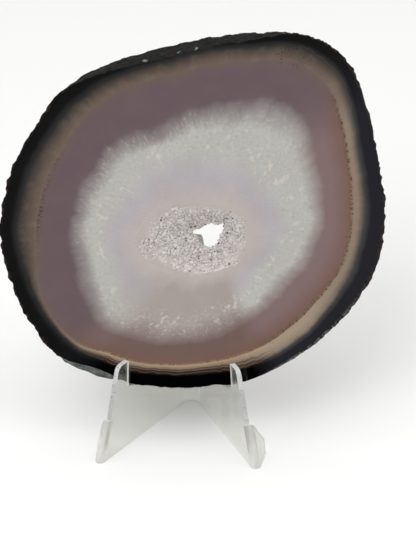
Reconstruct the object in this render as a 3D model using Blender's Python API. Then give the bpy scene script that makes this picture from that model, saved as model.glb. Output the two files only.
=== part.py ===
"""A banded agate slice with a crystal-lined hollow, standing in a one-piece clear easel.

Units are metres, +Z is up, +X is to the right and the polished front faces -Y.
The origin is on the table, under the middle of the whole object's box.
Outlines are written in millimetres, because that is how a maker would note them down.

The easel is made the way the real one is: a flat sheet is cut to an outline, then bent along
its back and folded back at its two feet. The slice is made as rings round the middle of its
hollow, and leans back in the easel's two slots. A crust of crystals lines the hollow.
"""

import math
import random

import bmesh
import bpy
from mathutils import Vector, geometry, noise

MM = 0.001
GAP = 0.3 * MM

# Where things stand. The easel's two wings meet, when drawn on, at its back corner.
EASEL_X = -2.99 * MM
CORNER_Y = 16.4 * MM

# Easel sheet
SHEET = 1.6 * MM
WING_ANGLE = math.radians(28.9)
SPINE_RADIUS = 3.0 * MM
SPINE_STEPS = 6
SPINE_TOP_Z = 60.6 * MM
UPRIGHT_TOP_Z = 63.8 * MM
FRONT_LEAN = math.radians(19.2)
FOOT_REACH = 48.0 * MM
PRONG_TOP_Z = 29.6 * MM
PRONG_TOP_REACH = 32.8 * MM

# Ears: the flaps folded back outwards at the two feet, about a line that leans on its own
FOLD_REACH = 49.4 * MM
FOLD_LEAN = math.radians(22.5)
EAR_FOLD = math.radians(142.0)
EAR_FOLD_RADIUS = 0.1 * MM
EAR_FOLD_STEPS = 7
EAR_TOP = 14.1 * MM
EAR_SLIT = 0.2 * MM
EAR_SLIT_DEPTH = 2.0 * MM
EAR_REAR_TOP = 7.2 * MM
EAR_REAR_OUT = 8.8 * MM
EAR_END_SLOPE = -0.26
TRIM = 4.0 * MM

# Slice
LEAN = math.radians(17.0)
THICKNESS = 5.8 * MM
EDGE_BREAK = 0.25 * MM
FRONT_FROM_CORNER = 28.2 * MM
FRONT_EDGE_Z = 19.9 * MM
LEDGE_RISE = 0.45 * MM
SPOKES = 144

# Outlines on the slice's front face: to the right of the easel's middle, and up the slice
SLICE_OUTLINE = [
    (32.6, 111.4), (41.7, 109.4), (50.8, 102.5), (56.6, 90.1), (59.9, 77.5), (62.7, 63.0),
    (62.7, 53.0), (59.7, 38.6), (51.3, 25.2), (37.6, 12.2), (20.8, 2.8), (3.8, 0.2),
    (-16.2, 1.0), (-28.6, 4.4), (-37.5, 7.6), (-44.6, 15.3), (-52.2, 27.9), (-56.6, 43.4),
    (-56.7, 53.0), (-52.7, 69.1), (-44.6, 83.0), (-36.5, 93.1), (-24.7, 100.1), (-7.4, 105.7),
    (11.0, 109.9), (22.9, 111.0),
]
HOLLOW_OUTLINE = [
    (-14.3, 46.0), (-12.5, 50.7), (-9.4, 54.6), (-4.0, 57.4), (4.0, 58.2), (12.4, 57.9),
    (18.6, 55.8), (21.6, 50.2), (20.7, 44.6), (17.1, 39.6), (10.9, 36.6), (3.1, 35.8),
    (-4.7, 37.5), (-11.0, 41.1),
]
HOLE_OUTLINE = [
    (3.4, 50.0), (6.4, 50.8), (8.2, 52.3), (11.3, 52.1), (13.0, 52.8), (13.1, 50.4),
    (11.7, 47.6), (11.2, 45.6), (9.0, 44.2), (6.4, 45.2), (4.4, 47.6), (3.4, 48.0),
]
MIDDLE = Vector((9.0, 48.5)) * MM

# The rough skin: where the back face reaches past the front one, as angle, half width, depth
SKIN_FLARES = [(102.0, 34.0, 3.0), (-130.0, 11.0, 1.7), (-88.0, 5.0, 0.6)]
SKIN_TUCK = 0.9 * MM
SKIN_BUMP = 0.35 * MM
SKIN_BUMP_SIZE = 3.2 * MM
RESTING_ANGLES = (225.0, 300.0)
RESTING_SKIN = 0.2

# Hollow: depth below the front face, from the rim of the hole (0) to its outer rim (1)
HOLLOW_DEPTHS = [(0.0, 4.5), (0.15, 4.3), (0.55, 3.1), (0.955, 1.2), (1.0, 0.0)]
HOLE_MARGIN = 1.4 * MM

# Crystal crust
CRUST_GAP = 0.35 * MM
CRUST_INSET = 0.75 * MM
CRYSTAL_PITCH = 1.45 * MM
CRYSTAL_HEIGHT = (1.1 * MM, 2.1 * MM)
VALLEY_HEIGHT = (0.45 * MM, 0.85 * MM)
CRUST_RIM_DEPTH = 0.2 * MM
CRUST_RIM_THICK = 0.4 * MM
BACKING_PITCH = 3.4 * MM


def clear_scene():
    for item in list(bpy.data.objects):
        bpy.data.objects.remove(item, do_unlink=True)


def make_material(name, colour, roughness, transmission=0.0, ior=1.5):
    material = bpy.data.materials.new(name)
    material.use_nodes = True
    shader = material.node_tree.nodes["Principled BSDF"]
    shader.inputs["Base Color"].default_value = (*colour, 1.0)
    shader.inputs["Roughness"].default_value = roughness
    shader.inputs["Metallic"].default_value = 0.0
    shader.inputs["Transmission Weight"].default_value = transmission
    shader.inputs["IOR"].default_value = ior
    return material


def add_object(name, bm, material):
    bmesh.ops.triangulate(bm, faces=bm.faces)
    bmesh.ops.recalc_face_normals(bm, faces=bm.faces)
    mesh = bpy.data.meshes.new(name)
    bm.to_mesh(mesh)
    bm.free()
    mesh.materials.append(material)
    item = bpy.data.objects.new(name, mesh)
    bpy.context.scene.collection.objects.link(item)
    return item


# Outline helpers

def smooth_loop(points, steps):
    """A closed Catmull-Rom curve through the points, which are in millimetres."""
    knots = [Vector(point) * MM for point in points]
    count = len(knots)
    loop = []
    for index in range(count):
        before = knots[index - 1]
        start = knots[index]
        end = knots[(index + 1) % count]
        after = knots[(index + 2) % count]
        for step in range(steps):
            t = step / steps
            loop.append(0.5 * (2.0 * start
                               + (end - before) * t
                               + (2.0 * before - 5.0 * start + 4.0 * end - after) * t ** 2
                               + (3.0 * start - before - 3.0 * end + after) * t ** 3))
    return loop


def split_loop(points, longest):
    """The closed polygon through the points, in millimetres, with its long sides divided."""
    knots = [Vector(point) * MM for point in points]
    loop = []
    for start, end in zip(knots, knots[1:] + knots[:1]):
        parts = max(1, math.ceil((end - start).length / longest))
        loop += [start.lerp(end, part / parts) for part in range(parts)]
    return loop


def radius_by_angle(loop):
    """A function that gives a loop's distance from MIDDLE in the direction of an angle."""
    spokes = []
    for point in loop:
        arm = point - MIDDLE
        spokes.append((math.atan2(arm.y, arm.x), arm.length))
    spokes.sort()
    first, last = spokes[0], spokes[-1]
    spokes = [(last[0] - math.tau, last[1])] + spokes + [(first[0] + math.tau, first[1])]

    def radius(angle):
        angle = math.atan2(math.sin(angle), math.cos(angle))
        for low, high in zip(spokes, spokes[1:]):
            if low[0] <= angle <= high[0]:
                share = (angle - low[0]) / max(high[0] - low[0], 1e-9)
                return low[1] + (high[1] - low[1]) * share
        return first[1]

    return radius


def inside(point, loop):
    crossings = False
    for start, end in zip(loop, loop[1:] + loop[:1]):
        if (start.y > point.y) != (end.y > point.y):
            reach = start.x + (point.y - start.y) / (end.y - start.y) * (end.x - start.x)
            if point.x < reach:
                crossings = not crossings
    return crossings


def distance_to_loop(point, loop):
    best = math.inf
    for start, end in zip(loop, loop[1:] + loop[:1]):
        nearest, share = geometry.intersect_point_line(point.to_3d(), start.to_3d(), end.to_3d())
        share = min(1.0, max(0.0, share))
        best = min(best, (start.lerp(end, share) - point).length)
    return best


# Easel

def flat_reach(reach):
    """Distance along the sheet's middle layer for a reach measured from the back corner."""
    arc = (SPINE_RADIUS + SHEET / 2) * (math.pi / 2 - WING_ANGLE)
    return reach - SPINE_RADIUS / math.tan(WING_ANGLE) + arc


def rest_reach(z):
    """Reach of the upright's sloping front edge, just behind the slice's back face."""
    behind = THICKNESS / math.cos(LEAN) + GAP / math.cos(LEAN)
    y = -FRONT_FROM_CORNER + behind + (z - FRONT_EDGE_Z) * math.tan(LEAN)
    return -y / math.cos(WING_ANGLE)


def ledge_z(reach):
    """Height of the slot's floor, which is square to the leaning slice."""
    y = -reach * math.cos(WING_ANGLE)
    drop = (y + FRONT_FROM_CORNER) * math.tan(LEAN)
    return FRONT_EDGE_Z + LEDGE_RISE / math.cos(LEAN) - drop


def fold_point(along, out):
    """Sheet coordinates of a point given along the foot's fold line and out past it."""
    reach = FOLD_REACH - along * math.sin(FOLD_LEAN) + out * math.cos(FOLD_LEAN)
    return reach, along * math.cos(FOLD_LEAN) + out * math.sin(FOLD_LEAN)


def round_corner(before, corner, after, radius, steps=5):
    """The arc that rounds one corner of an outline."""
    to_before = (before - corner).normalized()
    to_after = (after - corner).normalized()
    half = to_before.angle(to_after) / 2
    cut = min(radius / math.tan(half), (before - corner).length / 2, (after - corner).length / 2)
    radius = cut * math.tan(half)
    centre = corner + (to_before + to_after).normalized() * radius / math.sin(half)
    start = corner + to_before * cut - centre
    end = corner + to_after * cut - centre
    turn = start.angle_signed(end)
    arc = []
    for step in range(steps + 1):
        angle = -turn * step / steps
        spun = Vector((start.x * math.cos(angle) - start.y * math.sin(angle),
                       start.x * math.sin(angle) + start.y * math.cos(angle)))
        arc.append(centre + spun)
    return arc


def half_sheet_outline():
    """Corners of the right half of the flat sheet, top to bottom, with their radii."""
    slot_front = FRONT_FROM_CORNER + GAP + 0.25 * MM + SHEET * math.sin(WING_ANGLE)
    slot_front /= math.cos(WING_ANGLE)
    slot_back_z = ledge_z(rest_reach(FRONT_EDGE_Z))
    slot_back = rest_reach(slot_back_z)
    prong_front = FOOT_REACH - PRONG_TOP_Z * math.tan(FRONT_LEAN)
    prong_foot_z = (EAR_TOP + EAR_SLIT) * math.cos(FOLD_LEAN)
    prong_foot = FOOT_REACH - prong_foot_z * math.tan(FRONT_LEAN)
    ear_bottom_out = EAR_REAR_OUT + (EAR_REAR_TOP + TRIM) * EAR_END_SLOPE
    corners = [
        (rest_reach(UPRIGHT_TOP_Z), UPRIGHT_TOP_Z, 1.6 * MM),
        (slot_back, slot_back_z, 0.5 * MM),
        (slot_front, ledge_z(slot_front), 0.7 * MM),
        (PRONG_TOP_REACH, PRONG_TOP_Z, 0.3 * MM),
        (prong_front, PRONG_TOP_Z, 2.6 * MM),
        (prong_foot, prong_foot_z, 0.2 * MM),
        (*fold_point(EAR_TOP + EAR_SLIT, -EAR_SLIT_DEPTH), 0.1 * MM),
        (*fold_point(EAR_TOP, -EAR_SLIT_DEPTH), 0.1 * MM),
        (*fold_point(EAR_TOP, -EAR_FOLD_RADIUS), 0.6 * MM),
        (*fold_point(EAR_REAR_TOP, EAR_REAR_OUT), 1.0 * MM),
        (*fold_point(-TRIM, ear_bottom_out), 0.0),
        (*fold_point(-TRIM, -EAR_SLIT_DEPTH), 0.0),
    ]
    return [(flat_reach(reach), z, radius) for reach, z, radius in corners]


def sheet_outline():
    """The whole closed outline, rounded, as (across, up) on the flat sheet."""
    right = half_sheet_outline()
    left = [(-across, z, radius) for across, z, radius in reversed(right)]
    corners = [(0.0, SPINE_TOP_Z, 0.0)] + right + [(0.0, -TRIM / 2, 0.0)] + left
    points = [Vector(corner[:2]) for corner in corners]
    outline = []
    for index, (across, z, radius) in enumerate(corners):
        if radius == 0.0:
            outline.append(points[index])
            continue
        after = points[(index + 1) % len(points)]
        outline += round_corner(points[index - 1], points[index], after, radius)
    return outline


def fold_ear(across, depth, z):
    """Fold the sheet back beyond the foot's leaning line. Depth runs from the V's inside out."""
    out_start = -(EAR_FOLD_RADIUS + SHEET)
    side = abs(across) - flat_reach(FOLD_REACH)
    along = -side * math.sin(FOLD_LEAN) + z * math.cos(FOLD_LEAN)
    out = side * math.cos(FOLD_LEAN) + z * math.sin(FOLD_LEAN)
    in_ear_part = along < EAR_TOP + EAR_SLIT / 2
    if out <= out_start or not in_ear_part:
        return across, depth, z
    bend_length = (EAR_FOLD_RADIUS + SHEET / 2) * EAR_FOLD
    past = out - out_start
    angle = min(past, bend_length) / (EAR_FOLD_RADIUS + SHEET / 2)
    straight = max(0.0, past - bend_length)
    radius = EAR_FOLD_RADIUS + SHEET - depth
    out = out_start + radius * math.sin(angle) + straight * math.cos(angle)
    depth = SHEET + EAR_FOLD_RADIUS - radius * math.cos(angle) + straight * math.sin(angle)
    side = -along * math.sin(FOLD_LEAN) + out * math.cos(FOLD_LEAN)
    z = along * math.cos(FOLD_LEAN) + out * math.sin(FOLD_LEAN)
    return math.copysign(flat_reach(FOLD_REACH) + side, across), depth, z


def bend_spine(across, depth, z):
    """Wrap the sheet round the upright bend at its middle, into the V the easel stands on."""
    half_turn = math.pi / 2 - WING_ANGLE
    arc = (SPINE_RADIUS + SHEET / 2) * half_turn
    centre_y = -SPINE_RADIUS / math.sin(WING_ANGLE)
    if abs(across) <= arc:
        angle = abs(across) / (SPINE_RADIUS + SHEET / 2)
        x = (SPINE_RADIUS + depth) * math.sin(angle)
        y = centre_y + (SPINE_RADIUS + depth) * math.cos(angle)
    else:
        reach = SPINE_RADIUS / math.tan(WING_ANGLE) + abs(across) - arc
        x = reach * math.sin(WING_ANGLE) + depth * math.cos(WING_ANGLE)
        y = -reach * math.cos(WING_ANGLE) + depth * math.sin(WING_ANGLE)
    return EASEL_X + math.copysign(x, across), CORNER_Y + y, z


def cut_sheet(bm, point, normal):
    everything = bm.verts[:] + bm.edges[:] + bm.faces[:]
    bmesh.ops.bisect_plane(bm, geom=everything, dist=1e-7, plane_co=point, plane_no=normal)


def build_easel():
    bm = bmesh.new()
    outline = [bm.verts.new((point.x, 0.0, point.y)) for point in sheet_outline()]
    bm.faces.new(outline)

    # Score lines, so that the flat sheet can bend there
    arc = (SPINE_RADIUS + SHEET / 2) * (math.pi / 2 - WING_ANGLE)
    for step in range(-SPINE_STEPS, SPINE_STEPS + 1):
        cut_sheet(bm, (arc * step / SPINE_STEPS, 0.0, 0.0), (1.0, 0.0, 0.0))
    bend_length = (EAR_FOLD_RADIUS + SHEET / 2) * EAR_FOLD
    for side in (-1.0, 1.0):
        for step in range(EAR_FOLD_STEPS + 1):
            out = bend_length * step / EAR_FOLD_STEPS - (EAR_FOLD_RADIUS + SHEET)
            reach, z = fold_point(0.0, out)
            point = (side * flat_reach(reach), 0.0, z)
            cut_sheet(bm, point, (side * math.cos(FOLD_LEAN), 0.0, math.sin(FOLD_LEAN)))

    # Give the sheet its thickness
    grown = bmesh.ops.extrude_face_region(bm, geom=bm.faces[:])["geom"]
    for vert in (item for item in grown if isinstance(item, bmesh.types.BMVert)):
        vert.co.y = SHEET

    # Fold the ears, bend the back, then trim the lower edge level with the table
    for vert in bm.verts:
        vert.co = bend_spine(*fold_ear(*vert.co))
    everything = bm.verts[:] + bm.edges[:] + bm.faces[:]
    cut = bmesh.ops.bisect_plane(bm, geom=everything, dist=1e-7, plane_co=(0.0, 0.0, 0.0),
                                 plane_no=(0.0, 0.0, -1.0), clear_outer=True)
    rim = [item for item in cut["geom_cut"] if isinstance(item, bmesh.types.BMEdge)]
    bmesh.ops.holes_fill(bm, edges=rim)
    clear_plastic = make_material("clear_acrylic", (0.95, 0.96, 0.96), 0.05, 1.0, 1.49)
    return add_object("easel", bm, clear_plastic)


# Slice

def slice_point(right, up, depth):
    """World position of a point on the leaning slice, depth below its front face."""
    front_y = CORNER_Y - FRONT_FROM_CORNER
    return Vector((EASEL_X + right,
                   front_y + up * math.sin(LEAN) + depth * math.cos(LEAN),
                   FRONT_EDGE_Z + up * math.cos(LEAN) - depth * math.sin(LEAN)))


def on_spoke(angle, radius, depth):
    right = MIDDLE.x + radius * math.cos(angle)
    up = MIDDLE.y + radius * math.sin(angle)
    return slice_point(right, up, depth)


def skin_flare(angle):
    """How far the back face reaches past the front face in this direction."""
    flare = 0.0
    for middle, half_width, reach in SKIN_FLARES:
        away = (math.degrees(angle) - middle + 180.0) % 360.0 - 180.0
        if abs(away) < half_width:
            flare += reach * MM * math.cos(away / half_width * math.pi / 2) ** 0.7
    return flare


def skin_share(angle):
    """The rough skin is worn down along the bottom, where the slice rests."""
    low, high = RESTING_ANGLES
    return RESTING_SKIN if low < math.degrees(angle) % 360.0 < high else 1.0


def skin_bump(angle, radius, depth):
    place = Vector((radius * math.cos(angle), radius * math.sin(angle), depth * 0.6))
    bump = noise.noise(place / SKIN_BUMP_SIZE) + 0.5 * noise.noise(place / SKIN_BUMP_SIZE * 2.3)
    return bump * SKIN_BUMP * skin_share(angle)


def hollow_depth(share):
    share = min(1.0, max(0.0, share))
    for (low, low_depth), (high, high_depth) in zip(HOLLOW_DEPTHS, HOLLOW_DEPTHS[1:]):
        if share <= high:
            return MM * (low_depth + (high_depth - low_depth) * (share - low) / (high - low))
    return 0.0


def slice_profile(angle, rim, hollow, hole):
    """One cut through the slice, as (radius, depth), round from the hollow's outer rim."""
    edge = rim(angle)
    flare = skin_flare(angle)
    front = edge - flare
    back = edge - SKIN_TUCK * skin_share(angle) * max(0.0, 1.0 - flare / MM)
    profile = [(front - EDGE_BREAK, 0.0)]
    for share in (0.0, 0.33, 0.67, 1.0):
        depth = EDGE_BREAK + (THICKNESS - 2 * EDGE_BREAK) * share
        radius = front + (back - front) * share ** 0.8
        profile.append((radius + skin_bump(angle, radius, depth), depth))
    profile.append((profile[-1][0] - EDGE_BREAK, THICKNESS))
    profile[0] = (profile[1][0] - EDGE_BREAK, 0.0)
    hole_edge = hole(angle) + HOLE_MARGIN
    profile.append((hole_edge, THICKNESS))
    for share, depth in HOLLOW_DEPTHS:
        profile.append((hole_edge + (hollow(angle) - hole_edge) * share, depth * MM))
    return profile


def build_slice():
    rim = radius_by_angle(smooth_loop(SLICE_OUTLINE, 12))
    hollow = radius_by_angle(smooth_loop(HOLLOW_OUTLINE, 8))
    hole = radius_by_angle(split_loop(HOLE_OUTLINE, 0.4 * MM))
    bm = bmesh.new()
    spokes = []
    for index in range(SPOKES):
        angle = math.tau * index / SPOKES
        profile = slice_profile(angle, rim, hollow, hole)
        spokes.append([bm.verts.new(on_spoke(angle, *place)) for place in profile])
    for first, second in zip(spokes, spokes[1:] + spokes[:1]):
        ring = len(first)
        for place in range(ring):
            after = (place + 1) % ring
            bm.faces.new((first[place], first[after], second[after], second[place]))
    agate = make_material("agate", (0.20, 0.16, 0.16), 0.15)
    return add_object("agate_slice", bm, agate)


# Crystal crust

def crust_floor(point, hollow, hole):
    """Depth of the crust's underside, a little above the hollow's own surface."""
    arm = point - MIDDLE
    angle = math.atan2(arm.y, arm.x)
    hole_edge = hole(angle) + HOLE_MARGIN
    share = (arm.length - hole_edge) / (hollow(angle) - hole_edge)
    return hollow_depth(share) - CRUST_GAP


def fill_between(outer, inner, points):
    """Triangles between two loops that use all the points, as indices in the joined list."""
    coordinates = outer + inner + points
    edges = [(i, (i + 1) % len(outer)) for i in range(len(outer))]
    edges += [(len(outer) + i, len(outer) + (i + 1) % len(inner)) for i in range(len(inner))]
    result = geometry.delaunay_2d_cdt(coordinates, edges, [], 0, 1e-7)
    made, triangles, sources = result[0], result[2], result[3]
    kept = []
    for triangle in triangles:
        middle = sum((made[index] for index in triangle), Vector((0.0, 0.0))) / 3
        if inside(middle, outer) and not inside(middle, inner):
            kept.append([sources[index][0] for index in triangle])
    return kept


def hexagon_points(pitch, outer, inner, margin, chance, jitter):
    """Crystal tips on a hexagonal grid, and the low points between them."""
    tips, valleys = [], []
    row_height = pitch * math.sqrt(3) / 2
    low = Vector((min(p.x for p in outer), min(p.y for p in outer)))
    high = Vector((max(p.x for p in outer), max(p.y for p in outer)))
    rows = math.ceil((high.y - low.y) / row_height) + 1
    columns = math.ceil((high.x - low.x) / pitch) + 1
    corner = pitch / math.sqrt(3)
    for row in range(rows):
        for column in range(columns):
            x = low.x + (column + 0.5 * (row % 2)) * pitch
            y = low.y + row * row_height
            places = [(tips, x, y), (valleys, x, y + corner), (valleys, x + pitch / 2, y + corner / 2)]
            for kind, place_x, place_y in places:
                point = Vector((place_x + chance.uniform(-jitter, jitter),
                                place_y + chance.uniform(-jitter, jitter)))
                clear = inside(point, outer) and not inside(point, inner)
                if clear and distance_to_loop(point, outer) > margin \
                        and distance_to_loop(point, inner) > margin:
                    kind.append(point)
    return tips, valleys


def build_crust():
    chance = random.Random(11)
    hollow_loop = smooth_loop(HOLLOW_OUTLINE, 8)
    hole_loop = split_loop(HOLE_OUTLINE, 1.1 * MM)
    hollow = radius_by_angle(hollow_loop)
    hole = radius_by_angle(split_loop(HOLE_OUTLINE, 0.4 * MM))
    outer = []
    for step in range(78):
        angle = -math.tau * step / 78
        reach = hollow(angle) - CRUST_INSET - chance.uniform(0.0, 0.7) * MM
        outer.append(MIDDLE + reach * Vector((math.cos(angle), math.sin(angle))))
    tips, valleys = hexagon_points(CRYSTAL_PITCH, outer, hole_loop, 0.55 * MM, chance, 0.22 * MM)
    backing = hexagon_points(BACKING_PITCH, outer, hole_loop, 1.0 * MM, chance, 0.0)[0]

    def depth_above(point, heights):
        rise = chance.uniform(*heights)
        return max(CRUST_RIM_DEPTH, crust_floor(point, hollow, hole) - rise)

    bm = bmesh.new()
    front = [bm.verts.new(slice_point(p.x, p.y, CRUST_RIM_DEPTH)) for p in outer]
    front += [bm.verts.new(slice_point(p.x, p.y, depth_above(p, VALLEY_HEIGHT))) for p in hole_loop]
    front += [bm.verts.new(slice_point(p.x, p.y, depth_above(p, CRYSTAL_HEIGHT))) for p in tips]
    front += [bm.verts.new(slice_point(p.x, p.y, depth_above(p, VALLEY_HEIGHT))) for p in valleys]
    for triangle in fill_between(outer, hole_loop, tips + valleys):
        bm.faces.new([front[index] for index in triangle])

    rim_floor = CRUST_RIM_DEPTH + CRUST_RIM_THICK
    back = [bm.verts.new(slice_point(p.x, p.y, rim_floor)) for p in outer]
    back += [bm.verts.new(slice_point(p.x, p.y, crust_floor(p, hollow, hole)))
             for p in hole_loop + backing]
    for triangle in fill_between(outer, hole_loop, backing):
        bm.faces.new([back[index] for index in reversed(triangle)])

    for start, count in ((0, len(outer)), (len(outer), len(hole_loop))):
        for step in range(count):
            here = start + step
            there = start + (step + 1) % count
            bm.faces.new((front[here], front[there], back[there], back[here]))
    quartz = make_material("quartz", (0.55, 0.53, 0.52), 0.25)
    return add_object("druse_crust", bm, quartz)


clear_scene()
build_easel()
build_slice()
build_crust()
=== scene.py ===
# %% [markdown]
# # An agate slice on a clear easel
#
# The object is a sawn and polished slice of banded agate. It has a shallow hollow lined with small
# quartz crystals, a little hole through the hollow's floor, and it leans in a clear easel bent from
# one sheet of plastic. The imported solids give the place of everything. This script dresses them.

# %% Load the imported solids
import math

import bmesh
import bpy
import numpy as np
from mathutils import Matrix, Vector, noise


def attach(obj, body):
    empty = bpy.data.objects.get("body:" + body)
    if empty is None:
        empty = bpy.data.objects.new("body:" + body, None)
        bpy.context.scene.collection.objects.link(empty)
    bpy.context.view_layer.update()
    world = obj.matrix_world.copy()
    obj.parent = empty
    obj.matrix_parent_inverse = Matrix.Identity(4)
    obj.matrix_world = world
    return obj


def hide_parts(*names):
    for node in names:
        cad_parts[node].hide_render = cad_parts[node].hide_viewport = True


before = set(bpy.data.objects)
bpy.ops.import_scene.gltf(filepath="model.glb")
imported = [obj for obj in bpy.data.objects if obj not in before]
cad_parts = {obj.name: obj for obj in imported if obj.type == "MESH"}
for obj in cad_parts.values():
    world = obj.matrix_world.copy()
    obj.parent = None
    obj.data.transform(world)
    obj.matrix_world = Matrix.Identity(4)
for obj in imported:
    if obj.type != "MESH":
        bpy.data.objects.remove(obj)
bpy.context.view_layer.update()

MM = 0.001

# %% [markdown]
# ## The camera
#
# The view is a little from the right and from above, as a person sees a small thing on a table.
# The lens is long, so the slice shows almost no perspective. The camera is also tipped by two
# degrees, which is why the easel looks slightly turned in the picture. Its three axes are worked
# out from these angles, because a camera in Blender looks along its own minus Z.

# %% Camera
VIEW_AZIMUTH = math.radians(7.33)
VIEW_ELEVATION = math.radians(27.5)
VIEW_ROLL = math.radians(-2.01)
VIEW_TARGET = Vector((5.51, -0.60, 53.56)) * MM
VIEW_DISTANCE = 595.2 * MM
FOCAL_IN_PIXELS = 1912.6
PICTURE_HEIGHT = 555

towards = Vector((math.sin(VIEW_AZIMUTH) * math.cos(VIEW_ELEVATION),
                  -math.cos(VIEW_AZIMUTH) * math.cos(VIEW_ELEVATION),
                  math.sin(VIEW_ELEVATION)))
level = Vector((math.cos(VIEW_AZIMUTH), math.sin(VIEW_AZIMUTH), 0.0))
upright = towards.cross(level)
across = level * math.cos(VIEW_ROLL) + upright * math.sin(VIEW_ROLL)
above = upright * math.cos(VIEW_ROLL) - level * math.sin(VIEW_ROLL)

camera_data = bpy.data.cameras.new("camera")
camera_data.sensor_width = 36.0
camera_data.lens = FOCAL_IN_PIXELS / PICTURE_HEIGHT * camera_data.sensor_width
camera = bpy.data.objects.new("camera", camera_data)
bpy.context.scene.collection.objects.link(camera)
camera.matrix_world = (Matrix.Translation(VIEW_TARGET + towards * VIEW_DISTANCE)
                       @ Matrix((across, above, towards)).transposed().to_4x4())
bpy.context.scene.camera = camera
print("lens in mm:", round(camera_data.lens, 1))

# %% [markdown]
# ## Helpers for colours and nodes
#
# Colours are written as a screen's values, from 0 to 255, and turned into the linear values that a
# shader needs. The node helpers keep each later step to a few short lines: an input may be given a
# number or the output of an earlier node.

# %% Colour helper
def tint(red, green, blue):
    """A screen colour as a linear one, with full opacity."""
    linear = []
    for part in (red, green, blue):
        share = part / 255
        linear.append(share / 12.92 if share <= 0.04045 else ((share + 0.055) / 1.055) ** 2.4)
    return (*linear, 1.0)


# %% Node helpers
def add(tree, kind, inputs=None, **settings):
    """A new node with its settings, and its inputs set or wired."""
    node = tree.nodes.new(kind)
    for name, value in settings.items():
        setattr(node, name, value)
    for name, value in (inputs or {}).items():
        if isinstance(value, bpy.types.NodeSocket):
            tree.links.new(value, node.inputs[name])
        else:
            node.inputs[name].default_value = value
    return node


def calculate(tree, operation, first, second=0.0, third=0.0):
    return add(tree, "ShaderNodeMath", {0: first, 1: second, 2: third}, operation=operation).outputs[0]


def rescale(tree, value, low, high, new_low=0.0, new_high=1.0):
    """The value moved from one range to another, smoothly and clamped."""
    inputs = {0: value, 1: low, 2: high, 3: new_low, 4: new_high}
    return add(tree, "ShaderNodeMapRange", inputs, interpolation_type="SMOOTHSTEP").outputs[0]


# %% Helpers that blend colours and make patterns
def blend_colour(tree, share, first, second):
    return add(tree, "ShaderNodeMix", {0: share, 6: first, 7: second}, data_type="RGBA").outputs[2]


def painted(tree, colour, over, *shares):
    """The colour with another laid over it, as thickly as all the shares multiplied."""
    thickness = shares[0]
    for share in shares[1:]:
        thickness = calculate(tree, "MULTIPLY", thickness, share)
    return blend_colour(tree, thickness, colour, over)


def stretch(tree, vector, factors):
    node = add(tree, "ShaderNodeVectorMath", {0: vector, 1: factors}, operation="MULTIPLY")
    return node.outputs[0]


def distance_from(tree, vector, point):
    node = add(tree, "ShaderNodeVectorMath", {0: vector, 1: point}, operation="DISTANCE")
    return node.outputs["Value"]


def cloud(tree, vector, scale=1.0, detail=2.0, roughness=0.5):
    """Soft noise between about 0.25 and 0.75."""
    inputs = {"Vector": vector, "Scale": scale, "Detail": detail, "Roughness": roughness}
    return add(tree, "ShaderNodeTexNoise", inputs).outputs[0]


def gradient(tree, value, stops, span=1.0):
    """A colour for each value. Stops are (value, colour), and span is the highest value."""
    share = calculate(tree, "DIVIDE", value, span)
    node = add(tree, "ShaderNodeValToRGB", {0: share})
    elements = node.color_ramp.elements
    while len(elements) < len(stops):
        elements.new(0.5)
    for element, (place, colour) in zip(elements, stops):
        element.position = place / span
        element.color = colour
    return node.outputs[0]


def attribute(tree, name, output="Fac"):
    return add(tree, "ShaderNodeAttribute", attribute_name=name).outputs[output]


# %% Helpers for materials and groups
def new_material(name, plain):
    """A material with a Principled shader, that shader, and its plain values set."""
    material = bpy.data.materials.new(name)
    material.use_nodes = True
    shader = material.node_tree.nodes["Principled BSDF"]
    for socket, value in plain.items():
        shader.inputs[socket].default_value = value
    return material, material.node_tree, shader


def new_group(name, inputs, outputs):
    """A shader node group with named sockets, and its input and output nodes."""
    group = bpy.data.node_groups.new(name, "ShaderNodeTree")
    for title, kind in inputs:
        group.interface.new_socket(title, in_out="INPUT", socket_type=kind)
    for title, kind in outputs:
        group.interface.new_socket(title, in_out="OUTPUT", socket_type=kind)
    return group, group.nodes.new("NodeGroupInput"), group.nodes.new("NodeGroupOutput")


FLOAT, VECTOR, COLOUR = "NodeSocketFloat", "NodeSocketVector", "NodeSocketColor"

# %% [markdown]
# ## Floor and light
#
# A plain pale table and large soft lamps keep the attention on the stone. The polished face leans
# back, so from the camera it mirrors what lies low in front of it. Nothing bright stands there,
# because it would wash out the black band. The main lamp is high in front and a wide one hangs
# overhead.

# %% Floor
FLOOR_SIZE = 6.0
FLOOR_COLOUR = tint(250, 250, 249)

floor_mesh = bpy.data.meshes.new("floor")
half = FLOOR_SIZE / 2
floor_mesh.from_pydata([(-half, -half, 0), (half, -half, 0), (half, half, 0), (-half, half, 0)],
                       [], [(0, 1, 2, 3)])
floor = bpy.data.objects.new("floor", floor_mesh)
bpy.context.scene.collection.objects.link(floor)
floor_material, tree, shader = new_material("pale_table", {"Roughness": 0.7})
place = add(tree, "ShaderNodeTexCoord").outputs["Object"]
speck = cloud(tree, place, 900.0, 2.0)
tree.links.new(blend_colour(tree, rescale(tree, speck, 0.3, 0.7, 0.0, 0.04), FLOOR_COLOUR,
                            tint(232, 232, 230)), shader.inputs["Base Color"])
floor_mesh.materials.append(floor_material)

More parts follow.
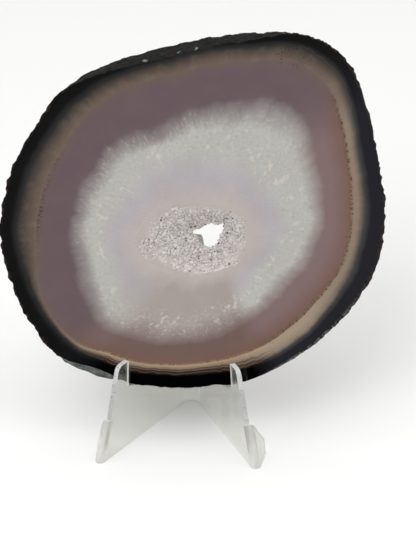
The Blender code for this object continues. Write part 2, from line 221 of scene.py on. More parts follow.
# %% Lamps
def soft_lamp(name, azimuth, elevation, distance, size, power):
    """A square soft box that looks at the middle of the object."""
    azimuth, elevation = math.radians(azimuth), math.radians(elevation)
    away = Vector((math.sin(azimuth) * math.cos(elevation),
                   -math.cos(azimuth) * math.cos(elevation), math.sin(elevation)))
    lamp_data = bpy.data.lights.new(name, "AREA")
    lamp_data.shape = "SQUARE"
    lamp_data.size = size
    lamp_data.energy = power
    lamp = bpy.data.objects.new(name, lamp_data)
    bpy.context.scene.collection.objects.link(lamp)
    lamp.matrix_world = (Matrix.Translation(VIEW_TARGET + away * distance)
                         @ away.to_track_quat("Z", "Y").to_matrix().to_4x4())
    return lamp


soft_lamp("front_lamp", -20.0, 42.0, 1.7, 1.0, 11.5)
soft_lamp("overhead_lamp", 0.0, 88.0, 1.8, 2.2, 17.5)
soft_lamp("side_lamp", 75.0, 35.0, 1.9, 0.8, 2.5)

# The room is bright all round, apart from the low dark part that the polished face mirrors
world = bpy.data.worlds.new("studio")
world.use_nodes = True
tree = world.node_tree
towards_room = add(tree, "ShaderNodeTexCoord").outputs["Generated"]
DARK_PART = Vector((-0.11, -1.0, 0.13)).normalized()
facing = add(tree, "ShaderNodeVectorMath", {0: towards_room, 1: DARK_PART}, operation="DOT_PRODUCT")
brightness = rescale(tree, facing.outputs["Value"], 0.98, 0.88, 0.015, 0.50)
tree.links.new(brightness, tree.nodes["Background"].inputs["Strength"])
tree.nodes["Background"].inputs["Color"].default_value = (1.0, 1.0, 1.0, 1.0)
bpy.context.scene.world = world
bpy.context.scene.view_settings.view_transform = "Standard"

# %% [markdown]
# ## Where the slice stands
#
# The slice leans back in the easel. A point of it is given as a maker would measure it on the
# stone: so far right of the easel's middle, so far up the face, and so far below the polished
# front. One function turns that into a place in the room, for one point or for thousands at once.

# %% Places on the slice
EASEL_X = -2.99 * MM
CORNER_Y = 16.4 * MM
LEAN = math.radians(17.0)
THICKNESS = 5.8
FRONT_FROM_CORNER = 28.2
FRONT_EDGE_Z = 19.9
MIDDLE = (9.0, 48.5)


def slice_places(right, up, depth):
    """World coordinates, in metres, of points given in millimetres on the slice."""
    y = CORNER_Y / MM - FRONT_FROM_CORNER + up * math.sin(LEAN) + depth * math.cos(LEAN)
    z = FRONT_EDGE_Z + up * math.cos(LEAN) - depth * math.sin(LEAN)
    return np.stack([EASEL_X / MM + right, y, z], axis=-1) * MM


# %% [markdown]
# ## The slice's outline and bands
#
# An agate grows inwards from the wall of a cavity, one thin layer on another, so every band follows
# the outline but with its own unevenness. The outline, the hollow's rim and the hole are closed
# curves through a few measured points. Each band edge is a depth below the outline, in
# millimetres, at a few directions round the hollow: 0 degrees is right and 90 is up.

# %% Outlines
SLICE_OUTLINE = [
    (32.6, 111.4), (41.7, 109.4), (50.8, 102.5), (56.6, 90.1), (59.9, 77.5), (62.7, 63.0),
    (62.7, 53.0), (59.7, 38.6), (51.3, 25.2), (37.6, 12.2), (20.8, 2.8), (3.8, 0.2),
    (-16.2, 1.0), (-28.6, 4.4), (-37.5, 7.6), (-44.6, 15.3), (-52.2, 27.9), (-56.6, 43.4),
    (-56.7, 53.0), (-52.7, 69.1), (-44.6, 83.0), (-36.5, 93.1), (-24.7, 100.1), (-7.4, 105.7),
    (11.0, 109.9), (22.9, 111.0),
]
HOLLOW_OUTLINE = [
    (-14.3, 46.0), (-12.5, 50.7), (-9.4, 54.6), (-4.0, 57.4), (4.0, 58.2), (12.4, 57.9),
    (18.6, 55.8), (21.6, 50.2), (20.7, 44.6), (17.1, 39.6), (10.9, 36.6), (3.1, 35.8),
    (-4.7, 37.5), (-11.0, 41.1),
]
HOLE_OUTLINE = [
    (3.4, 50.0), (6.4, 50.8), (8.2, 52.3), (11.3, 52.1), (13.0, 52.8), (13.1, 50.4),
    (11.7, 47.6), (11.2, 45.6), (9.0, 44.2), (6.4, 45.2), (4.4, 47.6), (3.4, 48.0),
]


# %% Curves through the measured points
def smooth_loop(points, steps):
    """A closed smooth curve through the points."""
    start = np.array(points)[:, None, :]
    before, end, after = np.roll(start, 1, 0), np.roll(start, -1, 0), np.roll(start, -2, 0)
    t = (np.arange(steps) / steps)[None, :, None]
    loop = 0.5 * (2 * start + (end - before) * t
                  + (2 * before - 5 * start + 4 * end - after) * t ** 2
                  + (3 * start - before - 3 * end + after) * t ** 3)
    return loop.reshape(-1, 2)


def straight_loop(points, steps):
    """The closed polygon through the points, with each side divided."""
    start = np.array(points)[:, None, :]
    t = (np.arange(steps) / steps)[None, :, None]
    return (start + (np.roll(start, -1, 0) - start) * t).reshape(-1, 2)


def radius_towards(loop, angles):
    """How far a loop lies from the middle of the hollow, in each direction."""
    arms = loop - np.array(MIDDLE)
    directions = np.arctan2(arms[:, 1], arms[:, 0])
    return np.interp(angles, directions[np.argsort(directions)],
                     np.hypot(arms[:, 0], arms[:, 1])[np.argsort(directions)], period=math.tau)


def by_direction(stops, angles):
    """A smooth closed curve through (degrees, value) stops, read at the angles."""
    degrees = np.array([stop[0] for stop in stops], float)
    values = np.array([stop[1] for stop in stops], float)
    degrees = np.concatenate([degrees - 360, degrees, degrees + 360])
    values = np.tile(values, 3)
    slopes = np.gradient(values, degrees)
    wanted = np.degrees(angles) % 360
    left = np.searchsorted(degrees, wanted, side="right") - 1
    width = degrees[left + 1] - degrees[left]
    t = (wanted - degrees[left]) / width
    return ((2 * t ** 3 - 3 * t ** 2 + 1) * values[left] + (t ** 3 - 2 * t ** 2 + t) * width * slopes[left]
            + (3 * t ** 2 - 2 * t ** 3) * values[left + 1] + (t ** 3 - t ** 2) * width * slopes[left + 1])


# %% Band edges, as depths below the outline
DARK_EDGE = [
    (0, 6.4), (15, 6.2), (30, 5.9), (42, 5.3), (50, 4.4), (65, 3.9), (80, 3.9), (95, 3.8),
    (110, 4.0), (122, 4.4), (134, 5.5), (150, 5.3), (165, 5.3), (180, 5.4), (195, 6.1),
    (207, 5.5), (220, 6.3), (238, 4.9), (250, 4.6), (265, 4.9), (280, 5.1), (292, 4.3),
    (315, 4.1), (330, 5.0), (345, 6.2),
]
CREAM_EDGE = [
    (0, 9.8), (10, 10.2), (20, 9.7), (40, 9.4), (60, 9.4), (75, 9.0), (100, 8.6), (120, 9.0),
    (132, 10.5), (145, 11.3), (160, 12.0), (175, 12.2), (185, 11.8), (194, 9.4), (203, 7.5),
    (212, 7.0), (228, 8.5), (240, 7.9), (250, 7.6), (270, 8.3), (282, 8.9), (300, 8.6),
    (320, 9.2), (335, 9.8),
]
MAUVE_EDGE = [
    (0, 21.6), (15, 21.2), (27, 21.8), (37, 23.5), (47, 25.3), (62, 25.4), (80, 24.7), (95, 23.8),
    (106, 24.9), (118, 27.0), (130, 27.2), (142, 25.7), (165, 25.6), (188, 25.6), (197, 25.0),
    (207, 23.2), (220, 19.6), (235, 17.0), (252, 15.9), (265, 16.5), (282, 18.4), (305, 19.8),
    (325, 21.2), (342, 22.1),
]
WHITE_EDGE = [
    (0, 30.0), (20, 31.4), (32, 33.8), (43, 41.5), (58, 44.0), (72, 42.0), (85, 37.0), (98, 34.0),
    (112, 33.2), (140, 34.5), (152, 35.3), (165, 34.0), (185, 32.5), (200, 32.0), (215, 29.2),
    (228, 28.4), (238, 27.2), (248, 24.8), (265, 25.4), (283, 26.9), (308, 25.7), (322, 28.2),
    (345, 30.0),
]


def band_edges(angles):
    """Depths of the band edges 0 to 5 in each direction: the rim, dark, cream, mauve, white, hollow."""
    rim = radius_towards(smooth_loop(SLICE_OUTLINE, 12), angles)
    hollow = radius_towards(smooth_loop(HOLLOW_OUTLINE, 8), angles)
    inner = [by_direction(stops, angles) for stops in (DARK_EDGE, CREAM_EDGE, MAUVE_EDGE, WHITE_EDGE)]
    return rim, np.stack([np.zeros_like(angles), *inner, rim - hollow])


# %% [markdown]
# ## The slice's mesh
#
# The slice is built like a ring: 720 cuts from the hollow outwards, each with the same number of
# points over the polished front, round the rough skin, over the sawn back and through the hole. A
# grid of this kind is closed by making, and its cuts run the way the crystals grow. The skin's
# knobs are real bumps in the mesh, in three sizes, because they shape the outline that one sees.

# %% Shape of the skin
SPOKES = 720
EDGE_BREAK = 0.12
SKIN_FLARES = [(102.0, 34.0, 3.0), (-130.0, 11.0, 1.7), (-88.0, 5.0, 0.6)]
SKIN_TUCK = 0.9
# Knobs as (height, size), then how far out and how ragged the skin is, by direction
KNOBS = [(0.50, 3.6), (0.40, 1.7), (0.24, 0.8)]
SKIN_OUT = [(0, 0.25), (14, -0.1), (45, -0.15), (58, 0.15), (75, -0.05), (95, 0.1), (135, 0.3),
            (150, 0.1), (180, 0.1), (220, 0.0), (250, 0.05), (295, -0.05), (315, 0.3), (340, 0.35)]
RAGGED_SIDE = [(0, 1.1), (30, 1.4), (60, 1.6), (75, 1.1), (95, 0.6), (120, 0.5), (140, 0.9), (160, 1.2),
               (200, 1.2), (221, 0.9), (228, 0.3), (298, 0.25), (312, 0.6), (338, 0.8)]
# A bulge of skin between the two faces, at the lower left
LOW_BULGE = [(216, 0.0), (221, 0.8), (226, 1.8), (232, 2.3), (236, 1.5), (239, 0.0)]


def skin_flare(angles):
    """How far the back face reaches past the front face."""
    flare = np.zeros_like(angles)
    for middle, half_width, reach in SKIN_FLARES:
        away = (np.degrees(angles) - middle + 180.0) % 360.0 - 180.0
        share = np.clip(np.cos(away / half_width * math.pi / 2), 0.0, None) ** 0.7
        flare += np.where(np.abs(away) < half_width, reach * share, 0.0)
    return flare


def raggedness(angles):
    """The skin is smooth along the top, and worn down where the slice rests in the easel."""
    return by_direction(RAGGED_SIDE, angles)


def knobs(angles, radius, depth):
    """Height of the skin's knobs, read from soft noise of three sizes."""
    heights = np.zeros_like(radius)
    for index, (angle, reach) in enumerate(zip(angles, radius)):
        spot = Vector((reach * math.cos(angle), reach * math.sin(angle), depth))
        for height, size in KNOBS:
            heights[index] += height * noise.noise(spot / size)
    return heights * raggedness(angles) + by_direction(SKIN_OUT, angles)


# %% Rings of the slice
HOLLOW_DEPTHS = [(0.0, 4.5), (0.15, 4.3), (0.55, 3.1), (0.955, 1.2), (1.0, 0.0)]
HOLE_MARGIN = 1.4
FRONT_RINGS, SKIN_RINGS, BACK_RINGS, HOLLOW_RINGS = 62, 14, 20, 8

angles = np.arange(SPOKES) / SPOKES * math.tau
rim, edges = band_edges(angles)
hollow_rim = rim - edges[5]
hole_rim = radius_towards(straight_loop(HOLE_OUTLINE, 8), angles) + HOLE_MARGIN
flare = skin_flare(angles)
front_rim = rim - flare
low_bulge = np.interp(np.degrees(angles), *zip(*LOW_BULGE))
back_rim = rim - SKIN_TUCK * np.clip(raggedness(angles), 0, 1) * np.clip(1.0 - flare, 0.0, None)

skin = []
for share in np.linspace(0.0, 1.0, SKIN_RINGS):
    depth = EDGE_BREAK + (THICKNESS - 2 * EDGE_BREAK) * share
    radius = front_rim + (back_rim - front_rim) * share ** 0.8 + low_bulge * math.sin(math.pi * share ** 1.3)
    skin.append((radius + knobs(angles, radius, depth), depth, "skin"))

rings = []
front_edge = skin[0][0] - EDGE_BREAK
for share in np.linspace(0.0, 1.0, FRONT_RINGS):
    rings.append((hollow_rim + (front_edge - hollow_rim) * share, 0.0, "front"))
rings += skin
back_edge = skin[-1][0] - EDGE_BREAK
for share in np.linspace(0.0, 1.0, BACK_RINGS):
    rings.append((back_edge + (hole_rim - back_edge) * share, THICKNESS, "back"))
for share in np.linspace(0.0, 1.0, HOLLOW_RINGS)[:-1]:
    depth = np.interp(share, *zip(*HOLLOW_DEPTHS))
    rings.append((hole_rim + (hollow_rim - hole_rim) * share, depth, "hollow"))
print("slice rings:", len(rings), "points:", len(rings) * SPOKES)

# %% Mesh of the slice
def closed_rings(name, places, marks):
    """A mesh from rings of points, each joined to the next and the last to the first."""
    count, spokes = places.shape[:2]
    here = np.arange(count)[:, None] * spokes + np.arange(spokes)[None, :]
    below = np.roll(here, -1, 0)
    faces = np.stack([here, np.roll(here, -1, 1), np.roll(below, -1, 1), below], -1).reshape(-1, 4)
    mesh = bpy.data.meshes.new(name)
    mesh.from_pydata(places.reshape(-1, 3).tolist(), [], faces.tolist())
    mesh.polygons.foreach_set("material_index", np.repeat(marks, spokes))
    mesh.update()
    return mesh


def store(mesh, name, values):
    """Writes one number or one vector for each point of the mesh."""
    kind, field = ("FLOAT", "value") if values.ndim == 1 else ("FLOAT_VECTOR", "vector")
    layer = mesh.attributes.new(name, kind, "POINT")
    layer.data.foreach_set(field, np.ascontiguousarray(values, np.float32).ravel())


radius = np.stack([ring[0] for ring in rings])
depth = np.stack([np.full(SPOKES, ring[1]) for ring in rings])
right = MIDDLE[0] + radius * np.cos(angles)
up = MIDDLE[1] + radius * np.sin(angles)
SURFACES = ["front", "skin", "back", "hollow"]
marks = np.array([SURFACES.index(ring[2]) for ring in rings])
marks[FRONT_RINGS - 1] = SURFACES.index("skin")
slice_mesh = closed_rings("agate_slice_dressed", slice_places(right, up, depth), marks)

# %% [markdown]
# ## What the slice's surface knows about itself
#
# The material has to paint bands that follow the outline, and streaks that point to the middle.
# Both need more than a place in the room, so each point of the mesh is given a few numbers. Band is
# 0 at the rim, 1 at the dark edge and so on to 5 at the hollow. Growth holds the direction and the
# depth below the rim, and has no seam where the angle jumps from 360 degrees back to 0.

# %% Numbers stored on the slice
# How much each side of the stone shows of a trait, as (degrees, amount)
OPEN_SIDE = [(0, 1), (40, 1), (52, 0.25), (62, 0), (140, 0), (215, 0), (226, 0.9), (250, 1), (330, 1)]
# The foot's share is partly painted shade: it darkens the bottom of the slice
FOOT_SIDE_AND_SHADE = [(0, 0), (100, 0), (190, 0), (218, 0.3), (232, 1), (288, 1), (301, 0), (330, 0)]
STAINED_SIDE = [(0, 1), (46, 1), (53, 0), (100, 0), (143, 0), (155, 0.5), (185, 0.6), (192, 0),
                (218, 0), (226, 1), (330, 1)]
COMBED_SIDE = [(0, 0.15), (35, 0.15), (60, 0.4), (80, 0.6), (105, 1), (150, 1), (180, 0.6), (200, 0.25),
               (330, 0.2)]
CREAM_SIDE = [(0, 0), (90, 0), (200, 0), (275, 0), (286, 0.5), (298, 1), (318, 1), (334, 0.4), (346, 0)]
LINED_SIDE = [(0, 0), (34, 0), (44, 1), (60, 1), (72, 0), (180, 0), (270, 0)]

depth_below_rim = np.clip(rim - radius, 0.0, None)
band = np.stack([np.interp(depth_below_rim[:, i], edges[:, i], np.arange(6)) for i in range(SPOKES)], 1)
growth = np.stack([np.broadcast_to(np.cos(angles), radius.shape),
                   np.broadcast_to(np.sin(angles), radius.shape), depth_below_rim], -1)
store(slice_mesh, "band", band.ravel())
store(slice_mesh, "growth", growth.reshape(-1, 3))
store(slice_mesh, "spot", np.stack([right, up, depth], -1).reshape(-1, 3))
for trait, stops in (("open_side", OPEN_SIDE), ("foot_side_and_shade", FOOT_SIDE_AND_SHADE),
                     ("stained_side", STAINED_SIDE), ("combed_side", COMBED_SIDE),
                     ("cream_side", CREAM_SIDE), ("lined_side", LINED_SIDE)):
    amount = np.clip(by_direction(stops, angles), 0.0, 1.0)
    store(slice_mesh, trait, np.tile(amount, len(rings)))
print("stored on the slice:", [layer.name for layer in slice_mesh.attributes if "." not in layer.name])

# %% [markdown]
# ## The bands' colours
#
# Seventeen colours are named after the bands. They were not mixed by eye: they come from longer
# lists that were tuned against medians of the photo's pixels, and were then rounded to steps of five
# and thinned. Each side of the stone is a list of ten or twelve stops in those colours, from the rim
# inwards. The left and top go from black through a dull tan to mauve. The right has a paler tan
# band. At the foot the band is cream and the mauve turns to brown, and a painted shade makes the
# black deeper and the quartz darker there. The three lists are blended by direction, and the band
# number is disturbed a little first, so that no edge is a clean line.

# %% Band colours
# The jet black and the warm quartz belong to the foot, where they are darker as painted shade
JET_IN_SHADE = tint(0, 0, 0)
BLACK = tint(20, 20, 20)
CHARCOAL = tint(35, 35, 40)
SLATE = tint(45, 45, 45)
STONE_GREY = tint(65, 65, 65)
DARK_BROWN = tint(65, 50, 45)
DULL_TAN = tint(105, 90, 80)
PALE_TAN = tint(135, 120, 105)
CREAM = tint(165, 145, 120)
RUST = tint(115, 90, 80)
MAUVE = tint(100, 85, 90)
WARM_MAUVE = tint(125, 105, 105)
BROWN_MAUVE = tint(110, 90, 85)
QUARTZ = tint(180, 180, 175)
WARM_QUARTZ_IN_SHADE = tint(165, 155, 150)
LILAC = tint(175, 170, 175)
INNER_CREAM = tint(185, 175, 170)

QUARTZ_BANDS = [(3.9, QUARTZ), (4.4, LILAC), (5.0, INNER_CREAM)]
SHADED_BANDS = [(0.0, BLACK), (0.6, BLACK), (1.0, SLATE), (1.85, DULL_TAN), (2.15, MAUVE),
                (2.7, MAUVE), (3.35, QUARTZ)] + QUARTZ_BANDS
OPEN_BANDS = [(0.0, CHARCOAL), (0.65, CHARCOAL), (0.95, STONE_GREY), (1.55, PALE_TAN),
              (1.9, PALE_TAN), (2.05, RUST), (2.5, WARM_MAUVE), (2.75, WARM_MAUVE),
              (3.3, QUARTZ)] + QUARTZ_BANDS
# At the foot the deeper black and the darker quartz are painted shade; the cream and brown are the stone's
FOOT_BANDS_AND_SHADE = [(0.0, JET_IN_SHADE), (0.8, JET_IN_SHADE), (1.2, DARK_BROWN), (1.85, CREAM), (2.06, RUST),
              (2.5, BROWN_MAUVE), (2.75, BROWN_MAUVE), (3.6, WARM_QUARTZ_IN_SHADE), (4.6, WARM_QUARTZ_IN_SHADE),
              (5.0, INNER_CREAM)]
LAST_BAND = 5.0


def profile(tree, band, stops):
    """A number for each band, read off a broken line."""
    greys = [(place, (level, level, level, 1.0)) for place, level in stops]
    return gradient(tree, band, greys, LAST_BAND)


# %% [markdown]
# ## The group that paints the bands
#
# The polished front and the sawn back show the same bands, so one node group paints both. It starts
# with soft noise on the growth numbers, squeezed round the stone and drawn out towards its middle.
# That gives streaks which point inwards, and they push the band edges up and down.

# %% Group with uneven band edges
bands_group, given, result = new_group(
    "agate_bands",
    [("Band", FLOAT), ("Growth", VECTOR), ("Spot", VECTOR), ("Open", FLOAT), ("Foot and shade", FLOAT),
     ("Stain", FLOAT), ("Comb", FLOAT), ("Cream", FLOAT), ("Lined", FLOAT)],
    [("Colour", COLOUR)])
tree = bands_group
band_in, growth_in, spot_in, open_in, foot_and_shade_in, stain_in, comb_in, cream_in, lined_in = given.outputs[:9]


def drawn_noise(around, inwards, detail=2.0, roughness=0.5):
    return cloud(tree, stretch(tree, growth_in, (around, around, inwards)), 1.0, detail, roughness)


def pushed(soft_noise, amount, value):
    """The value moved up where the noise is high and down where it is low."""
    return calculate(tree, "MULTIPLY_ADD", calculate(tree, "SUBTRACT", soft_noise, 0.5), amount, value)


streak = drawn_noise(16.0, 0.22, 3.0, 0.6)
shift = pushed(drawn_noise(5.0, 0.06), 0.7, pushed(streak, 0.35, 0.0))
unevenness = profile(tree, band_in, [(0.0, 0.0), (0.7, 0.40), (1.1, 0.40), (1.9, 0.25), (2.1, 0.2),
                                     (2.6, 0.35), (3.0, 0.5), (3.6, 1.0), (4.6, 0.8), (5.0, 0.1)])
band_here = calculate(tree, "MULTIPLY_ADD", shift, unevenness, band_in)

colour = gradient(tree, band_here, SHADED_BANDS, LAST_BAND)
# The foot's list also paints shade, so the bottom of the slice comes out darker
for side_in, stops in ((open_in, OPEN_BANDS), (foot_and_shade_in, FOOT_BANDS_AND_SHADE)):
    colour = blend_colour(tree, side_in, colour, gradient(tree, band_here, stops, LAST_BAND))

# %% Broad patches and fine streaks in the tan and cream bands
patch = rescale(tree, cloud(tree, spot_in, 0.11, 2.0), 0.35, 0.7)
colour = painted(tree, colour, tint(128, 112, 98), patch, rescale(tree, band_here, 1.0, 1.6, 0.0, 0.10))
in_tan = profile(tree, band_here, [(0.95, 0.0), (1.2, 1.0), (1.9, 1.0), (2.05, 0.0)])
colour = painted(tree, colour, tint(176, 160, 138), rescale(tree, streak, 0.48, 0.68), in_tan, 0.05)
colour = painted(tree, colour, tint(72, 64, 58), rescale(tree, streak, 0.50, 0.32), in_tan, 0.05)

# %% [markdown]
# ## Thin growth lines
#
# Some layers grew so thin that they show as lines. At the lower right they are a sine wave of the
# depth, bent by noise, over a brighter cream. At the foot there are two dark lines between paler
# ones, and one faint pale line runs along the black band at the upper right.

# %% Growth lines
colour = painted(tree, colour, tint(182, 163, 142), in_tan, cream_in, 0.45)
growth_depth = add(tree, "ShaderNodeSeparateXYZ", {0: growth_in}).outputs[2]
line_phase = calculate(tree, "MULTIPLY_ADD", drawn_noise(11.0, 0.25, 3.0), 14.0,
                       calculate(tree, "MULTIPLY", growth_depth, 10.0))
lines = rescale(tree, calculate(tree, "SINE", line_phase), 0.45, 1.0)
in_lines = profile(tree, band_in, [(0.85, 0.0), (1.0, 1.0), (1.35, 0.7), (1.7, 0.15), (2.0, 0.0)])
colour = painted(tree, colour, tint(60, 48, 42), lines, in_lines, cream_in, 0.6)
stain_line = profile(tree, band_here, [(1.90, 0.0), (1.97, 1.0), (2.06, 0.0)])
colour = painted(tree, colour, tint(92, 62, 46), stain_line, cream_in, 0.6)

rippled = pushed(drawn_noise(22.0, 0.05), 0.50, band_here)
for side_in, strength, line_colour, stops in (
        (foot_and_shade_in, 0.35, tint(122, 100, 82), [(0.94, 0.0), (1.02, 1.0), (1.09, 0.0), (1.22, 0.0),
                                             (1.29, 1.0), (1.36, 0.0)]),
        (foot_and_shade_in, 0.85, tint(38, 28, 24), [(1.06, 0.0), (1.14, 1.0), (1.17, 1.0), (1.25, 0.0),
                                           (1.33, 0.0), (1.41, 0.9), (1.51, 0.0)]),
        (lined_in, 0.28, tint(96, 90, 88), [(0.93, 0.0), (0.99, 1.0), (1.05, 0.0)])):
    colour = painted(tree, colour, line_colour, profile(tree, rippled, stops), side_in, strength)

# Dark dots on the cream band's inner edge, where the noise is highest
dot_noise = drawn_noise(75.0, 0.9, 2.0, 0.7)
on_edge = profile(tree, pushed(dot_noise, 0.3, band_here), [(1.90, 0.0), (1.97, 1.0), (2.02, 1.0),
                                                            (2.10, 0.0)])
dot_colour = blend_colour(tree, foot_and_shade_in, tint(70, 50, 44), tint(104, 62, 36))
colour = painted(tree, colour, dot_colour, on_edge, rescale(tree, dot_noise, 0.47, 0.62), stain_in, 0.85)

# %% [markdown]
# ## Comb, blotches and grain
#
# Past the mauve band the quartz starts as a fine comb of pale needles, all pointing inwards. Farther
# in they end in cream-coloured blotches, over a soft mottle. A fine grain covers all the quartz.

# %% Comb of needles, blotches, mottle and grain
needle = drawn_noise(52.0, 0.60, 2.0, 0.6)
in_comb = profile(tree, band_here, [(2.76, 0.0), (2.88, 1.0), (3.05, 0.8), (3.3, 0.3), (3.7, 0.0)])
blotch = drawn_noise(15.0, 0.40, 1.6)
in_blotch = profile(tree, band_here, [(3.0, 0.0), (3.3, 0.5), (3.75, 1.0), (4.0, 0.9), (4.12, 0.0)])
mottle = cloud(tree, spot_in, 0.9, 3.0, 0.65)
in_white = profile(tree, band_here, [(2.95, 0.0), (3.2, 1.0), (3.9, 1.0), (4.2, 0.0)])
grain = cloud(tree, spot_in, 1.7, 3.0, 0.6)
in_quartz = profile(tree, band_here, [(2.6, 0.0), (3.1, 1.0), (5.0, 1.0)])

colour = painted(tree, colour, tint(188, 187, 185), rescale(tree, needle, 0.52, 0.68), in_comb, comb_in, 0.30)
colour = painted(tree, colour, tint(128, 118, 117), rescale(tree, needle, 0.48, 0.34), in_comb, comb_in, 0.28)
colour = painted(tree, colour, tint(203, 198, 186), rescale(tree, blotch, 0.59, 0.66), in_blotch, 0.62)
colour = painted(tree, colour, tint(196, 195, 190), rescale(tree, mottle, 0.50, 0.70), in_white, 0.35)
colour = painted(tree, colour, tint(150, 149, 146), rescale(tree, mottle, 0.47, 0.32), in_white, 0.35)
colour = painted(tree, colour, tint(150, 140, 138), rescale(tree, grain, 0.40, 0.68), in_quartz, 0.16)

# %% Fringe along the rim, and a few pits
at_rim = profile(tree, band_in, [(0.0, 1.0), (0.06, 0.8), (0.16, 0.0)])
fringe_colour = blend_colour(tree, cream_in, tint(74, 54, 39), tint(150, 148, 142))
colour = painted(tree, colour, fringe_colour, at_rim, rescale(tree, drawn_noise(40.0, 0.8), 0.42, 0.6),
                 calculate(tree, "SUBTRACT", 1.0, foot_and_shade_in), 0.5)

PITTED = (34.0, 106.6, 0.0)
pits = rescale(tree, cloud(tree, spot_in, 1.9, 1.0), 0.36, 0.30)
near_pits = rescale(tree, distance_from(tree, spot_in, PITTED), 8.0, 5.0)
colour = painted(tree, colour, tint(16, 14, 14), pits, near_pits, rescale(tree, band_here, 0.9, 1.1), 0.85)
tree.links.new(colour, result.inputs["Colour"])
print("nodes that paint the bands:", len(tree.nodes))

# %% [markdown]
# ## Polished front and sawn back
#
# The front was ground and polished, so it is smooth and reflects like glass. The back of such a
# slice is usually left as the saw cut it: the same bands show, but paler and dull, with faint
# curved marks from the blade.

# %% Materials of the front and the back
def place_bands(tree):
    """The bands group, fed with the numbers stored on the slice."""
    group = add(tree, "ShaderNodeGroup", node_tree=bands_group)
    for socket, name, output in (
            ("Band", "band", "Fac"), ("Growth", "growth", "Vector"), ("Spot", "spot", "Vector"),
            ("Open", "open_side", "Fac"), ("Foot and shade", "foot_side_and_shade", "Fac"),
            ("Stain", "stained_side", "Fac"), ("Comb", "combed_side", "Fac"),
            ("Cream", "cream_side", "Fac"), ("Lined", "lined_side", "Fac")):
        tree.links.new(attribute(tree, name, output), group.inputs[socket])
    return group


AGATE_IOR = 1.54
polished, tree, shader = new_material("polished_agate", {"IOR": AGATE_IOR})
tree.links.new(place_bands(tree).outputs["Colour"], shader.inputs["Base Color"])
smear = cloud(tree, attribute(tree, "spot", "Vector"), 0.35, 3.0)
tree.links.new(rescale(tree, smear, 0.35, 0.7, 0.03, 0.07), shader.inputs["Roughness"])

# The blade's marks are arcs round a point far to the left of the stone
BLADE_CENTRE = (-260.0, 40.0, 5.8)
sawn, tree, shader = new_material("sawn_agate", {"IOR": AGATE_IOR})
spot = attribute(tree, "spot", "Vector")
dust = rescale(tree, cloud(tree, spot, 0.5, 3.0), 0.3, 0.7, 0.14, 0.30)
tree.links.new(blend_colour(tree, dust, place_bands(tree).outputs["Colour"], tint(168, 162, 156)),
               shader.inputs["Base Color"])
saw_phase = calculate(tree, "MULTIPLY_ADD", cloud(tree, spot, 0.2, 2.0), 5.0,
                      calculate(tree, "MULTIPLY", distance_from(tree, spot, BLADE_CENTRE), 4.1))
saw_lines = calculate(tree, "SINE", saw_phase)
tree.links.new(rescale(tree, saw_lines, -1.0, 1.0, 0.48, 0.6), shader.inputs["Roughness"])
saw_bump = add(tree, "ShaderNodeBump", {"Height": saw_lines, "Strength": 0.25, "Distance": 0.03 * MM})
tree.links.new(saw_bump.outputs[0], shader.inputs["Normal"])

# %% [markdown]
# ## The rough skin and the hollow's wall
#
# The skin is what is left of the wall the agate grew on: a dull grey-green crust, darker and brown
# where it is thin, with small fresh chips from sawing. The stone just inside the hollow is grey
# quartz, which shows only between the crystals.

# %% Material of the skin
rind, tree, shader = new_material("rough_skin", {"Specular IOR Level": 0.25})
spot = attribute(tree, "spot", "Vector")
lump = cloud(tree, spot, 0.55, 4.0, 0.6)
pit = cloud(tree, spot, 2.6, 3.0, 0.65)
skin_colour = gradient(tree, lump, [(0.30, tint(8, 8, 7)), (0.45, tint(12, 12, 11)),
                                    (0.58, tint(18, 19, 17)), (0.72, tint(30, 30, 27))])

# A paler patch of skin at the lower left
PALE_SKIN = (-31.0, 3.0, 3.5)
pale_skin = gradient(tree, lump, [(0.30, tint(52, 54, 50)), (0.50, tint(92, 98, 94)),
                                  (0.70, tint(128, 134, 128))])
near_pale = rescale(tree, distance_from(tree, spot, PALE_SKIN), 15.0, 8.0)
skin_colour = blend_colour(tree, near_pale, skin_colour, pale_skin)
brown = rescale(tree, cloud(tree, spot, 0.28, 3.0), 0.52, 0.68)
skin_colour = painted(tree, skin_colour, tint(36, 26, 18), brown, 0.40)
skin_colour = painted(tree, skin_colour, tint(10, 9, 9), rescale(tree, pit, 0.5, 0.34, 0.0, 0.6))

# Fresh chips along the edge, as (right, up, size) in millimetres, with a ragged border from noise
FRESH_CHIPS = [(-11.1, 102.6, 0.7), (-0.9, 105.2, 0.45), (4.8, 106.4, 0.5), (-36.8, 6.8, 0.6),
               (31.0, 111.6, 0.8), (41.0, 110.2, 0.7), (46.0, 104.0, 0.5), (20.3, 2.7, 0.6)]
CHIP_SQUASH = 0.7
ragged_spot = add(tree, "ShaderNodeVectorMath", {0: stretch(tree, spot, (CHIP_SQUASH, 1.0, 0.8)),
                                                 1: cloud(tree, spot, 1.6, 2.0)}, operation="ADD").outputs[0]
for chip_right, chip_up, size in FRESH_CHIPS:
    chip = (chip_right * CHIP_SQUASH + 0.5, chip_up + 0.5, 1.1)
    near_chip = rescale(tree, distance_from(tree, ragged_spot, chip), size, size * 0.6)
    skin_colour = blend_colour(tree, near_chip, skin_colour, tint(120, 118, 110))
tree.links.new(skin_colour, shader.inputs["Base Color"])
tree.links.new(rescale(tree, lump, 0.3, 0.7, 0.85, 0.65), shader.inputs["Roughness"])
rough_height = calculate(tree, "MULTIPLY_ADD", pit, 0.5, lump)
skin_relief = add(tree, "ShaderNodeBump", {"Height": rough_height, "Strength": 0.7, "Distance": 0.35 * MM})
tree.links.new(skin_relief.outputs[0], shader.inputs["Normal"])

# %% Material of the hollow's wall
hollow_wall, tree, shader = new_material("hollow_wall", {"Roughness": 0.4})
grain = cloud(tree, attribute(tree, "spot", "Vector"), 1.2, 3.0)
tree.links.new(gradient(tree, grain, [(0.3, tint(140, 132, 128)), (0.7, tint(184, 177, 172))]),
               shader.inputs["Base Color"])

